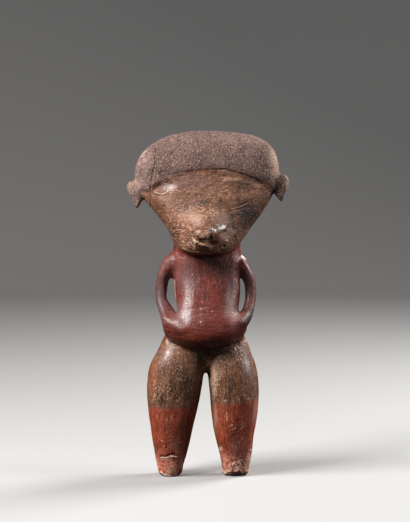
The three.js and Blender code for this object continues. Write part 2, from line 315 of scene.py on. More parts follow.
# Marks that are patches: middle, half width and half height in pixels, and then as above
PATCHES = [
    # the deep corner of the left eye and the hollow of the right eye, darkened as painted shade
    ((155.8, 187.6), (4.5, 4.5), -0.2, 0.12, 0), ((172, 184), (9, 5), -0.4, 0, 0),
    ((243, 190.5), (14, 5.5), -0.35, 0.1, 0),
    # the left half of the muzzle
    ((194, 218), (9, 10), 0.35, 0, 0),
    # the nose: lobes on its roll, paled as painted highlights, the pit of the nostril and the lesser one;
    # the pit and a dent on the roll are darkened as painted shade
    ((199.4, 231.6), (3, 2.6), 0.35, 0, 0.4), ((205.4, 232.8), (2.6, 2.4), 0.35, 0, 0.2),
    ((210.8, 237.6), (2.5, 1.9), -1.5, 1, 0), ((213.2, 236.6), (1.6, 1.6), 0.4, 0, 0.1),
    ((202, 234.6), (1.2, 1), -0.2, 0.25, 0),
    # the mouth and a hole beside it, darkened as painted shade, and the knob over that, a painted highlight
    ((207.4, 246.8), (6.4, 2.8), -0.6, 0.55, 0), ((223.6, 246.2), (2, 2), -0.9, 1, 0),
    ((226.4, 240.8), (2.8, 2), 0.6, 0, 0.7),
    # the flats of the belly beside the slots, and the right thigh's round inner side
    ((190, 304), (11, 30), 0.8, 0, 0), ((234, 312), (8, 24), 0.4, 0, 0),
    ((219, 372), (9, 22), 0.9, 0, 0),
    # small chips on the belly
    ((200.3, 308.2), (1.7, 1), -0.35, 0, 0.9), ((212.3, 311.2), (1.4, 0.9), -0.3, 0, 0.7),
    ((200.5, 321.6), (1.7, 0.9), -0.3, 0, 0.8), ((192.2, 274.4), (1.3, 0.9), -0.25, 0, 0.7),
    # a pit over the crack in the left foot, darkened as painted shade with a painted highlight on its rim,
    # and chips on both legs
    ((165.8, 447.9), (1.3, 1.3), -0.9, 1, 0), ((164.3, 446.5), (1.3, 1), 0.15, 0, 0.7),
    ((161.4, 440.3), (1.2, 1), -0.25, 0, 0.7), ((231.8, 424.4), (1.3, 1.1), -0.3, 0, 0.9),
    ((232.6, 428.8), (1.1, 1.1), -0.25, 0, 0.8), ((225, 400.6), (1.6, 1.2), -0.35, 0, 0.9),
    ((220.6, 448.2), (2.8, 3.6), -0.5, 0, 1), ((223.6, 463), (2.2, 3.4), -0.6, 0, 0.5),
    ((241, 459), (2.6, 1.8), -0.6, 0, 0.6), ((233, 462), (2.2, 2.2), -0.5, 0.3, 0),
    ((180.6, 472.6), (3.4, 3.4), -1.2, 0, 0.8), ((250.6, 449.2), (1.7, 1.7), -0.45, 0, 0.9),
    ((171.4, 457.2), (1.6, 1.2), 0.25, 0, 0.9),
    # pits along the crack in the hair and to the right of it, darkened as painted shade
    ((154.6, 160.2), (1.1, 1), -0.5, 0.9, 0), ((154.9, 164.2), (1, 1.3), -0.5, 0.9, 0),
    ((152.8, 171), (0.9, 1.6), -0.5, 0.9, 0), ((151.4, 181.6), (0.9, 2.2), -0.5, 0.9, 0),
    ((150.4, 188.2), (0.9, 1.8), -0.5, 0.8, 0), ((177.2, 165.2), (1.2, 1.2), -0.4, 0.9, 0),
    ((181.8, 157.4), (1, 1), -0.3, 0.7, 0),
]
# Rolls of clay with a steep rim, flat over ROLL_FLAT of their width: middle, half width and half height in
# pixels, and how many millimetres high
ROLL_FLAT = 0.25
ROLLS = [
    ((201.2, 234.4), (8.4, 5.4), 0.5),
]
# Places where the form is pushed sideways or up: middle, half width and half height in pixels, and how far in
# millimetres to the right and up
PUSHES = [
    # the slot inside the left arm, the right side of the waist and the right arm
    ((170.5, 309), (9, 15), (3.2, -0.6)), ((164, 286), (6, 14), (0.8, 0)),
    ((237.8, 293), (8, 22), (1.8, 0)), ((255, 292), (7, 30), (0.9, 0)),
    # the outline of the left cheek, the left hip and its forearm
    ((153, 214), (16, 18), (1.5, 0)), ((164, 228), (16, 20), (1.6, 0)),
    ((171, 245), (14, 20), (1.1, 0)), ((157, 316), (9, 16), (1.7, 0)),
    ((155, 348), (15, 26), (1.8, 0)),
    # the outline of the hair and of the right leg
    ((262, 143), (30, 26), (1.1, 0.8)), ((258, 410), (12, 70), (1.3, 0)),
    ((252, 456), (14, 26), (1.6, 0)),
]
# Places where the front is pushed towards the viewer: middle, half width and half height in pixels, how many
# millimetres, and the y from which on it is pushed, fully from JUT_FADE millimetres further forward
JUT_FADE = 6.0
JUTS = [
    # the muzzle, the left eye, the hollow over it and the chin
    ((203, 219), (20, 12.5), 1, -6), ((158, 187.5), (15, 10), 1.1, 0),
    ((160, 175), (16, 8), -0.8, 0), ((203, 247.5), (21, 8), 2.4, -6),
    # the belly and the hand by the left slot, the muzzle beside the nose and the belly by the right slot
    ((176, 304), (14, 27), 2.2, -6), ((178, 329), (17, 8), 1.3, -6),
    ((224, 242), (13, 10), 1.8, -6), ((242, 302), (14, 28), 1.8, -6),
]
# Where the front stands out in steps, as the roll of the nose and the lip do: how far forward in millimetres
# along rows of pixels, which lean by `lean` pixels for each pixel to the right and bend up by `bend`. A step
# is full over STEP_FLAT of its half width, and from the second y of STEP_DEPTH forward.
STEP_FLAT = 0.45
STEP_DEPTH = (-6.0, -12.0)
STEPS = [
    {"x": 201.5, "half": 10, "lean": 0.06, "bend": 0.045,
     "rows": [227, 230, 232, 234, 236, 237.4, 238.6, 239.8, 240.8, 241.6],
     "forward": [0, 0.7, 2.2, 3.8, 5, 5.9, 6.4, 5.4, 1.2, 0]},
    {"x": 201.5, "half": 11, "lean": 0.28, "bend": 0,
     "rows": [238.8, 240.4, 241.4, 242.6, 243.8, 245, 246.6, 250],
     "forward": [0, 3.2, 4.2, 5.4, 5.8, 4.6, 2, 0]},
]
# Patches of colour and shine alone: middle, half width and half height in pixels, and how much. Crumbs and
# flecks are bare clay that shows through. Much of the dark is painted shade, part of the pale and the grey is
# painted highlight and sheen, and the whitest patches are all painted highlight.
STAINS_AND_PAINTED_LIGHT = {
    # Most of the dark is painted shade: the chin's shadow on the chest, shade under the belly, between the
    # legs, in the slot inside the left arm, on the inner sides of arms and legs, on the right of the face,
    # muzzle and chest, on the hair's top and in the hollow of the right ear. The patch on the brow and those
    # along the left arm are dark stains of the clay.
    "dark": [
        ((204, 202.5), (10, 6), 0.65), ((207, 247), (12, 4), 0.2), ((172, 233), (14, 20), 0.72),
        ((160, 208), (10, 12), 0.3), ((212, 132), (62, 9), 0.42), ((205, 272), (16, 12), 0.55),
        ((170, 430), (10, 26), 0.35), ((236, 434), (9, 22), 0.35), ((172, 378), (10, 22), 0.35),
        ((200, 360), (12, 18), 0.75), ((232, 217), (7, 10), 0.6), ((248, 215), (22, 24), 0.95),
        ((236, 238), (12, 10), 0.35), ((214, 262), (24, 15), 0.6), ((222, 271), (14, 12), 0.75),
        ((224, 296), (9, 22), 0.35), ((186, 385), (12, 30), 0.6), ((176, 376), (5, 28), 0.35),
        ((167, 284), (5, 24), 0.95), ((158, 292), (9, 42), 0.58), ((250, 317), (10, 24), 1.0),
        ((246, 292), (6, 28), 0.6), ((224, 345), (24, 8), 0.45), ((231, 384), (9, 24), 0.6),
        ((184, 432), (9, 32), 0.6), ((276, 190), (7, 11), 0.85), ((150, 300), (5, 30), 0.25),
    ],
    # Part of the pale is painted light: highlights on the muzzle, the left eye, the right brow, the hips and
    # beside the nose, and rims of light on the hair's right edge, the right ear and the inside of the right
    # thigh. On the feet and by the crack in the left foot it is paler worn clay.
    "pale": [
        ((196, 217), (14, 10), 0.25), ((275, 160), (9, 28), 0.5), ((287, 184), (4, 13), 0.75),
        ((214, 214), (13, 8), 0.2), ((134, 187), (10, 11), 0.42), ((139, 203), (5, 9), 0.5),
        ((244, 182), (18, 4.5), 0.35), ((166.8, 341.8), (2.2, 4), 0.6), ((245.5, 341.5), (3.5, 2.5), 0.6),
        ((214.5, 380), (5.5, 26), 0.6), ((216.5, 374), (8, 13), 0.3), ((215.5, 418), (3.5, 26), 0.34),
        ((255.5, 412), (4, 22), 0.3), ((166, 459.5), (7, 2.5), 0.45), ((181, 474), (5, 4), 0.8),
        ((168, 475.5), (12, 2.5), 0.75), ((227, 472), (9, 4), 0.9), ((248, 462), (3.5, 14), 0.7),
        ((240, 470), (8, 3), 0.6), ((219, 449), (3, 4), 0.6), ((221, 240), (9, 6.5), 0.16),
        ((173, 470), (12, 8), 0.26), ((236, 466), (13, 9), 0.22), ((170, 187.5), (8, 5.5), 0.18),
    ],
    # These are painted highlights: the glint on the muzzle beside the nose's end, the shine of the left eye
    # and a glint on the nose's roll.
    "painted_glint": [
        ((216.5, 230.8), (4, 2.8), 0.6), ((220.5, 228.6), (4, 2.8), 0.7), ((223.8, 226.6), (3, 2.4), 0.5),
        ((169, 186.6), (10, 5.5), 0.24), ((198.6, 231.6), (3.4, 2.2), 0.35),
    ],
    # Some grey is the clay's own grey bloom, on the hair, the brow and the left arm; the rest is painted
    # sheen where highlights lie: on the left eye, the chest, beside the left hand, on the right shoulder, the
    # right of the belly and the thighs.
    "grey": [
        ((142, 161), (13, 18), 0.8), ((136, 191), (12, 20), 0.9), ((225, 139), (16, 8), 0.7),
        ((190, 182), (36, 13), 0.6), ((167, 187.5), (13, 8), 1), ((186, 276), (17, 26), 0.6),
        ((160, 296), (12, 46), 1), ((180, 314), (16, 20), 0.9), ((249, 278), (9, 36), 0.9),
        ((234, 312), (8, 26), 0.8), ((165, 354), (9, 12), 0.6), ((247, 362), (7, 16), 0.6),
        ((176, 446), (9, 11), 0.6), ((237, 446), (8, 10), 0.6),
    ],
    "warm": [
        ((178, 226), (18, 24), 0.6), ((232, 240), (9, 9), 0.3), ((221, 238), (8, 7), 0.9),
        ((219, 298), (9, 14), 0.3), ((196, 338), (22, 10), 0.9), ((153, 378), (8, 26), 0.7),
        ((153, 430), (5, 30), 0.5), ((166, 466), (12, 12), 0.5), ((218, 430), (5, 30), 0.5),
    ],
    "crumbs": [
        ((178, 230), (24, 26), 0.85), ((208, 212), (26, 16), 0.8), ((160, 398), (15, 12), 1),
        ((217, 384), (10, 28), 1), ((251, 396), (9, 9), 1), ((240, 352), (14, 18), 0.9),
        ((240, 436), (16, 24), 0.5), ((238, 466), (16, 12), 1), ((180, 472), (9, 8), 1),
        ((244, 184), (20, 8), 1), ((165, 262), (16, 18), 1), ((157, 296), (9, 40), 1),
        ((252, 300), (9, 40), 1), ((178, 258), (10, 12), 1), ((184, 318), (14, 14), 0.8),
        ((234, 312), (8, 22), 1),
    ],
    "flecks": [
        ((144, 158), (11, 18), 0.8), ((236, 420), (14, 18), 1), ((240, 444), (12, 14), 0.7),
        ((164, 416), (18, 10), 0.6), ((178, 442), (8, 16), 0.5), ((160, 396), (16, 10), 0.8),
        ((246, 398), (12, 10), 0.9), ((236, 465), (16, 12), 0.9), ((204, 306), (22, 26), 0.25),
    ],
    "matt": [
        ((166, 266), (12, 16), 0.8), ((158, 296), (9, 34), 0.5), ((250, 310), (8, 26), 0.6),
        ((235, 314), (9, 15), 0.7), ((248, 218), (22, 26), 1), ((224, 272), (14, 16), 0.8),
    ],
    "gloss": [
        ((171, 188), (9, 5.5), 0.3), ((219.8, 228.9), (10, 6), 2), ((199.4, 232.4), (4.5, 3), 1.2),
        ((205.6, 233.6), (3, 2.5), 0.8), ((185, 316), (9, 9), 0.12), ((166, 355), (6, 8), 0.4),
        ((248, 362), (5, 12), 0.4), ((240.5, 262), (6, 12), 0.5), ((248, 268), (6, 14), 0.5),
    ],
}
# The broken edge under the front of each foot: how far it stands off the floor along x, the y at which the
# break ends, and over how many millimetres it fades at its ends and there
BREAK_FADE = {"ends": 1.0, "behind": 5.0}
BREAKS = [
    {"x": [8.5, 10, 12, 13.4, 14.6, 15.5, 17, 19, 20.2, 21.8, 23.1, 24.4, 25.6, 26.8, 28.5],
     "lift": [7.5, 5.1, 3.4, 2, 2.3, 3.2, 3, 4.6, 4, 5, 3.6, 4.4, 3.8, 5.3, 8], "behind": 0},
    {"x": [-36, -34, -32, -28, -24, -21, -19.8, -18.2, -17],
     "lift": [5, 2.2, 1, 0.6, 0.9, 1.2, 3, 3.9, 7], "behind": 5},
]


# Sculpting: most functions here give how far the surface rises at each point, in millimetres

# Noises that lie on top of each other: how high each rises, how wide its lumps are along all axes or along
# each, both in millimetres, and its seed
HAND = [(0.3, 21, 1), (0.14, 9.5, 2), (0.05, 4.5, 3)]
UPRIGHT_STROKES = [(0.1, (3, 3, 26), 20), (0.07, (1.7, 1.7, 11), 21)]
LEVEL_STROKES = [(0.06, (15, 15, 2.8), 22), (0.04, (8, 8, 1.8), 23)]
HAIR_WANDER = [(0.5, 6, 30), (0.4, 1.6, 33)]
FOOT_GRAIN = [(0.18, (1.3, 1.3, 6), 45)]
ARM_GRAIN = [(0.1, 1.8, 46)]
CLAY_GRAIN = [(0.09, 1.8, 50)]
JAGGED = [(0.9, 1.9, 70), (0.5, 0.9, 71)]
# Rough noise: how high it rises, how wide its lumps are, its seed and how many noises it is made of
LUMPS = {
    "hair": (0.12, 4, 10, 2),
    "edge": (0.7, 5, 31, 3),
    "worn_edge": (7, 7, 32, 3),
    "worn": (0.4, (2.6, 2.6, 4.5), 40, 3),
    "patchy": (1, 9, 68, 3),
    "clouds": (1, 17, 75, 2),
}
# Pits: how deep and how wide, the seed of their noise, and its values where a pit begins and where it is full
PITS = {
    "hair": (0.22, 2.1, 14, 0.5, 0.85),
    "worn": (0.3, 1.5, 43, 0.3, 0.8),
    "shin": (0.3, 1.4, 44, 0.72, 0.92),
    "clay": (0.22, 1.9, 51, 0.4, 0.9),
}
# How much of the clay's grain each kind of surface shows
GRAINY = {"face": 0.9, "thigh": 0.5, "shin": 0.4, "slip": 0.2}
# Heights between which the burnishing stone went level round the belly, and where the arms begin to the sides
BELLY = {"top": (128, 116), "low": (86, 92)}
ARM_SIDES = (17.0, 22.0)
# How much of the texture is gone where the gloss is full
EVENED = 0.85


def layered(points, noises):
    """Noises on top of each other."""
    return sum(height * noise(points, size, seed) for height, size, seed in noises)


def lumps(points, kind):
    """Rough noise of one kind."""
    height, size, seed, octaves = LUMPS[kind]
    return height * rough(points, size, seed, octaves)


def pits(points, kind):
    """How deep the pits of one kind are."""
    depth, size, seed, begin, full = PITS[kind]
    return depth * ramp(noise(points, size, seed), begin, full)


def hair_grain(points, share):
    return share["hair"] * (lumps(points, "hair") - pits(points, "hair"))


def clay_grain(points, share):
    """The fine crumbs that show where the slip is thin."""
    grainy = sum(amount * share[name] for name, amount in GRAINY.items())
    return grainy * (layered(points, CLAY_GRAIN) - pits(points, "clay"))


def level_strokes(points, share):
    """1 where the burnishing stone went level, on the belly and the face, and 0 where it went up and down."""
    z = points[:, 2]
    belly = ramp(z, *BELLY["top"]) * ramp(z, *BELLY["low"])
    return np.maximum(belly, share["face"])


def burnish(points, share):
    """The shallow flats of the burnishing stone."""
    turned = level_strokes(points, share)
    flats = turned * layered(points, LEVEL_STROKES) + (1.0 - turned) * layered(points, UPRIGHT_STROKES)
    return (1.0 - share["hair"]) * flats


def wear(points, share):
    """Coarse worn clay at the feet, small pits up the shins and some grain on the arms."""
    coarse = lumps(points, "worn") - pits(points, "worn") + layered(points, FOOT_GRAIN)
    arms = share["slip"] * ramp(abs(points[:, 0] - MIDDLE_X), *ARM_SIDES)
    return share["worn"] * coarse - share["shin"] * pits(points, "shin") + arms * layered(points, ARM_GRAIN)


def texture(points, share):
    """All that is fine and lies everywhere."""
    fired = hair_grain(points, share) + clay_grain(points, share)
    return fired + burnish(points, share) + wear(points, share)


def patch_amount(place, name, facing):
    """How much of one kind of patch lies at each place of the camera's picture: a stain, painted shade or
    highlight, crumbs, flecks or shine.
    """
    amount = np.zeros(len(place))
    for middle, half, most in STAINS_AND_PAINTED_LIGHT[name]:
        amount = np.maximum(amount, most * bump(oval(place, middle, half), 1.0))
    return np.minimum(amount, 1.0) * facing


# How the edges of marks wander: by how many pixels, the width of the noise's lumps and its seeds
MARK_WANDER = {"pixels": 0.30, "size": 1.8, "seeds": (80, 81)}


def mark_shapes(place):
    """The shape of each line and patch, from 0 to 1, and how high, how dark and how pale it is."""
    for path, reach, *effect in LINES:
        yield bump(from_path(place, path), reach), effect
    for middle, half, *effect in PATCHES:
        yield bump(oval(place, middle, half), 1.0), effect


def marks(points, facing):
    """How far the marks raise the surface, and how dark and how pale they make it. Much of the dark is
    painted shade in grooves and pits, and much of the pale painted highlight on ridges.
    """
    ragged = np.stack([noise(points, MARK_WANDER["size"], seed) for seed in MARK_WANDER["seeds"]], axis=1)
    place = seen(points) + MARK_WANDER["pixels"] * ragged
    rise = np.zeros(len(points))
    dark = np.zeros(len(points))
    pale = np.zeros(len(points))
    for shape, (height, darkness, paleness) in mark_shapes(place):
        rise += height * shape
        dark = np.maximum(dark, darkness * shape)
        pale = np.maximum(pale, paleness * shape)
    for middle, half, height in ROLLS:
        rise += height * ramp(oval(place, middle, half), 1.0, ROLL_FLAT)
    return rise * facing, dark * facing, pale * facing


# What is where: shares from 0 to 1 of each kind of surface

# Half the width over which one kind gives way to the next, in millimetres
HAIR_BLEND = 0.35
BLEND = 0.5


def hair_share(points):
    x, y, z = points.T
    front = np.minimum(hair_arc(points), z - HAIR_EDGE + TEMPLE_DROP)
    nape = NAPE["drop"] * np.sqrt(np.clip(1.0 - ((x - NAPE["x"]) / NAPE["half_width"]) ** 2, 0.0, 1.0))
    back = z - HAIR_EDGE + nape
    turned = ramp(y, *HAIR_SIDE)
    above = (1.0 - turned) * front + turned * back + layered(points, HAIR_WANDER)
    hair = ramp(above, -HAIR_BLEND, HAIR_BLEND)
    for ear in EARS:
        gap = np.linalg.norm(points - ear, axis=1)
        lobe = ramp(gap, *EAR_GRAIN) * ramp(abs(x - MIDDLE_X), *EAR_ROOT)
        hair = np.maximum(hair, lobe)
    return hair


def shares(points):
    """How much of each kind of surface lies at each point. They add up to 1."""
    x, y, z = points.T
    out = x - MIDDLE_X
    height = z + lumps(points, "edge")
    hair = hair_share(points)
    chin = CHIN["low"] + (CHIN["high"] - CHIN["low"]) * ramp(y, CHIN["front"], CHIN["back"])
    head = ramp(height, chin - BLEND, chin + BLEND)
    hips = HIPS["low"] + HIPS["rise"] * (abs(out) / HIPS["reach"]) ** 3
    hips += HIPS["right"] * ramp(out, *HIPS["across"])
    above = ramp(height, hips - BLEND, hips + BLEND)
    right = SHINS["right"] + SHINS["slope"] * (x - SHINS["right_x"])
    line = np.where(out > 0.0, right, SHINS["left"])
    below = ramp(height, line + BLEND, line - BLEND)
    foot = np.where(out > 0.0, FEET["right"], FEET["left"])
    worn = ramp(z + lumps(points, "worn_edge"), foot + FEET["spread"], foot - FEET["spread"])
    legs = 1.0 - above
    return {
        "hair": hair,
        "face": (1.0 - hair) * head,
        "slip": (1.0 - hair) * (1.0 - head) * above,
        "thigh": legs * (1.0 - below),
        "shin": legs * below * (1.0 - worn),
        "worn": legs * below * worn,
    }


# Building the figure

def clay_body(node):
    """The figure's solid as a fine smooth skin."""
    piece = placed("clay_figure", node.data.copy())
    piece.data.materials.clear()
    even = piece.modifiers.new("even", "REMESH")
    even.mode = "VOXEL"
    even.voxel_size = VOXEL * MM
    apply_modifiers(piece)
    smooth_facets(piece.data, facet_weight(positions(piece.data)), ROUNDS)
    finer = piece.modifiers.new("finer", "SUBSURF")
    finer.levels = 1
    apply_modifiers(piece)
    return piece


def pushed(points):
    """The points after the corrections of the form: sideways and up all through it, forward at the front."""
    place = seen(points)
    depth = points[:, 1]
    moved = points.copy()
    for middle, half, (right, up) in PUSHES:
        share = bump(oval(place, middle, half), 1.0)
        moved[:, 0] += right * share
        moved[:, 2] += up * share
    for middle, half, forward, reach in JUTS:
        share = bump(oval(place, middle, half), 1.0) * ramp(depth, reach, reach - JUT_FADE)
        moved[:, 1] -= forward * share
    for step in STEPS:
        aside = place[:, 0] - step["x"]
        row = place[:, 1] - step["lean"] * aside + step["bend"] * aside**2
        share = ramp(abs(aside), step["half"], STEP_FLAT * step["half"]) * ramp(depth, *STEP_DEPTH)
        moved[:, 1] -= np.interp(row, step["rows"], step["forward"]) * share
    return moved


def broken_sole(points):
    """How high the underside lies at each point: on the floor, but for the broken front of the feet."""
    x, y, z = points.T
    height = np.zeros(len(points))
    for edge in BREAKS:
        first, last = edge["x"][0], edge["x"][-1]
        inside = ramp(x, first - BREAK_FADE["ends"], first) * ramp(x, last + BREAK_FADE["ends"], last)
        front = ramp(y, edge["behind"], edge["behind"] - BREAK_FADE["behind"])
        lift = np.interp(x, edge["x"], edge["lift"]) + layered(points, JAGGED)
        height = np.maximum(height, inside * front * lift)
    return np.where(z < SOLE_TOP, height, 0.0)


def sculpt(piece):
    """Gives the smooth skin its form and all its relief."""
    mesh = piece.data
    points = pushed(positions(mesh))
    place_vertices(mesh, points)
    share = shares(points)
    out = normals(mesh)
    facing = facing_camera(out)
    marked, _, _ = marks(points, facing)
    even = 1.0 - EVENED * patch_amount(seen(points), "gloss", facing)
    rise = layered(points, HAND) + even * texture(points, share) + marked
    points = points + rise[:, None] * out
    points[:, 2] = np.maximum(points[:, 2], broken_sole(points))
    place_vertices(mesh, points)


# Stains, painted shade and painted highlights go on round the sides, so they fade between these two values of
# how far the surface faces the camera
WRAP = (-0.5, 0.1)
# How the edges of the stains and painted light wander: by how many pixels, less for the painted glints,
# the width of the lumps and the seeds
PATCH_WANDER = {"pixels": 3.0, "painted_glint": 0.7, "size": 6.0, "seeds": (60, 64)}
# The values of rough noise where patches of crumbs and the clouds of the back begin and where they are full
PATCHY = (-0.2, 0.6)
CLOUDS = (-0.1, 0.7)
# The back, which the photograph doesn't show: its dark clouds, the grey where they are thin, and its flecks
BACK = {"dark": 0.30, "grey": 0.50, "thin": (0.6, 0.0), "flecks": 0.30}
# Crumbs everywhere: the least, how much more in patches, how many in the hair, and how many the grey hides
CRUMBS = {"least": 0.24, "patchy": 0.38, "hair": 0.9, "hidden": 0.4}
# How strongly the relief shifts the tones, which are in the middle at 0.5: lumps are painted lighter and
# hollows darker, as painted light and shade
RELIEF_TONE = 1.6


def paint(piece):
    """Stores what is where on the finished mesh, for the material."""
    mesh = piece.data
    points = positions(mesh)
    layers = shares(points)
    out = normals(mesh)
    facing = facing_camera(out)
    wrap = facing_camera(out, *WRAP)
    _, dark, pale = marks(points, facing)
    wander = np.stack([rough(points, PATCH_WANDER["size"], seed) for seed in PATCH_WANDER["seeds"]], axis=1)
    place = seen(points) + PATCH_WANDER["pixels"] * wander
    patchy = ramp(lumps(points, "patchy"), *PATCHY)
    clouds = ramp(lumps(points, "clouds"), *CLOUDS)
    back_dark = BACK["dark"] * clouds * (1.0 - wrap)
    back_grey = BACK["grey"] * ramp(clouds, *BACK["thin"]) * (1.0 - wrap)
    back_flecks = BACK["flecks"] * patchy * (1.0 - facing)
    # Most of the dark is painted shade; part of the pale and the grey is painted highlight and sheen, and the
    # white glints are painted highlight.
    layers["dark"] = np.maximum(np.maximum(dark, patch_amount(place, "dark", wrap)), back_dark)
    layers["pale"] = np.maximum(pale, patch_amount(place, "pale", wrap))
    layers["painted_glint"] = patch_amount(seen(points) + PATCH_WANDER["painted_glint"] * wander, "painted_glint", facing)
    layers["grey"] = np.maximum(patch_amount(place, "grey", wrap), back_grey)
    layers["warm"] = patch_amount(place, "warm", wrap)
    crumbs = np.maximum(CRUMBS["least"] + CRUMBS["patchy"] * patchy, patch_amount(place, "crumbs", wrap))
    crumbs = np.maximum(crumbs, CRUMBS["hair"] * layers["hair"])
    layers["crumbs"] = crumbs * (1.0 - CRUMBS["hidden"] * layers["grey"])
    layers["flecks"] = np.maximum(back_flecks, patch_amount(place, "flecks", wrap))
    layers["gloss"] = patch_amount(seen(points), "gloss", facing)
    layers["matt"] = patch_amount(place, "matt", wrap)
    layers["level"] = level_strokes(points, layers)
    # the relief also paints its lumps lighter and its hollows darker, as painted light and shade
    layers["relief"] = 0.5 + RELIEF_TONE * texture(points, layers)
    for name, values in layers.items():
        mesh.attributes.new(name, "FLOAT", "POINT").data.foreach_set("value", values.astype(np.float32))


# Where triangles are kept small: the front of the feet, the face inside FEATURES, how much the feet count and
# how far merging is held back
FINE = {"feet_z": (24.0, 16.0), "feet_y": (4.0, 0.0), "face": (0.0, 0.2), "feet": 0.6, "held": 0.97}


def plainness(points, facing):
    """How freely triangles may be merged: hardly on the face and round the marks of the feet."""
    features = bump(oval(seen(points), *FEATURES), 1.0)
    feet = ramp(points[:, 2], *FINE["feet_z"]) * ramp(points[:, 1], *FINE["feet_y"])
    fine = np.maximum(ramp(features, *FINE["face"]), FINE["feet"] * feet) * facing
    return 1.0 - FINE["held"] * fine


def lighten(piece):
    """Fewer triangles, and least where the surface is plain."""
    mesh = piece.data
    mesh.calc_loop_triangles()
    plain = piece.vertex_groups.new(name="plain")
    weights = np.round(plainness(positions(mesh), facing_camera(normals(mesh))), 2)
    for weight in np.unique(weights):
        plain.add(np.flatnonzero(weights == weight).tolist(), float(weight), "REPLACE")
    fewer = piece.modifiers.new("fewer", "DECIMATE")
    fewer.ratio = min(1.0, TRIANGLES / len(mesh.loop_triangles))
    fewer.vertex_group = "plain"
    apply_modifiers(piece)
    piece.vertex_groups.clear()
    piece.data.shade_smooth()


# Materials

def linear(red, green, blue):
    """A screen colour from 0 to 255 as the light values that Blender mixes."""
    screen = [value / 255.0 for value in (red, green, blue)]
    light = [value / 12.92 if value <= 0.04045 else ((value + 0.055) / 1.055) ** 2.4 for value in screen]
    return (*light, 1.0)


# Each kind of surface: its dark, middle and light colours, those of its crumbs and of its pits, whose dark
# is painted shade in them, its roughness, and how much its crumbs and the strokes of burnishing show
SURFACES = {
    "hair": (((80, 59, 52), (108, 82, 74), (134, 106, 97)), (182, 152, 138), (42, 29, 24), 0.90, 0.62, 0.0),
    "face": (((74, 46, 32), (124, 82, 60), (162, 116, 92)), (218, 172, 140), (40, 22, 14), 0.52, 0.90, 0.5),
    "slip": (((54, 22, 17), (105, 45, 36), (138, 68, 57)), (172, 112, 100), (38, 15, 11), 0.40, 0.33, 1.0),
    "thigh": (((52, 31, 20), (110, 70, 48), (156, 108, 80)), (216, 172, 140), (36, 20, 13), 0.46, 0.80, 1.0),
    "shin": (((76, 29, 18), (136, 58, 36), (176, 86, 60)), (222, 150, 120), (46, 17, 10), 0.48, 0.42, 1.0),
    "worn": (((116, 48, 33), (190, 98, 70), (236, 166, 138)), (248, 214, 192), (52, 21, 13), 0.80, 1.0, 0.5),
}
# What faintly shows where two kinds of surface meet
UNDER = {"colour": (0.2, 0.1, 0.1, 1.0), "rough": 0.5}
# Stains and painted light that tint the surface, in the order in which they lie on it: the most of each, and
# its colour. The grey is partly painted sheen, the dark mostly painted shade, the pale partly painted
# highlight, and the last and whitest tint is all painted highlight
TINTS = {
    "grey": (0.6, (136, 108, 108)),
    "warm": (0.5, (164, 78, 46)),
    "dark": (1.0, (34, 18, 11)),
    "pale": (1.0, (218, 182, 156)),
    "painted_glint": (1.0, (238, 238, 234)),
}
# The material's noises: the width of their lumps in millimetres, how much finer noise lies on them, and how
# far they are drawn out along each axis
PATTERNS = {
    "clouds": (13, 3, (1, 1, 1)),
    "blotch": (4, 3, (1, 1, 1)),
    "upright": (1.3, 1, (1, 1, 9)),
    "level": (1.3, 1, (7, 7, 1)),
    "upright_grain": (1, 1.5, (1, 1, 2.2)),
    "level_grain": (1, 1.5, (2.2, 2.2, 1)),
    "hair_grain": (1.05, 1.5, (1, 1, 1)),
    "holes": (1.15, 1.5, (1, 1, 1.2)),
    "flecks": (1.5, 0, (1, 1, 1.8)),
}
# The noise's values where a crumb, a hole or a fleck begins and where it is full
CRUMB_EDGE = (0.52, 0.66)
HOLE_EDGE = (0.47, 0.36)
FLECK_EDGE = (0.68, 0.74)
# Shares of patterns in the tones: the relief, which paints its lumps lighter and its hollows darker, among
# the clouds, and the strokes of a fully burnished surface
RELIEF_SHARE = 0.35
STROKE_SHARE = 0.40
# Shine: the roughness of gloss and matt stains, how much the blotches change it, and the coat on the gloss
POLISHED, MATT = 0.17, 0.66
UNEVEN_SHINE = 0.30
COAT_ROUGHNESS = 0.20
# The fine relief: how deep it is in millimetres, how strong, and how high strokes and grain are beside crumbs
FINE_RELIEF = {"depth": 0.40, "strength": 0.8, "strokes": 0.35, "grain": 0.40}


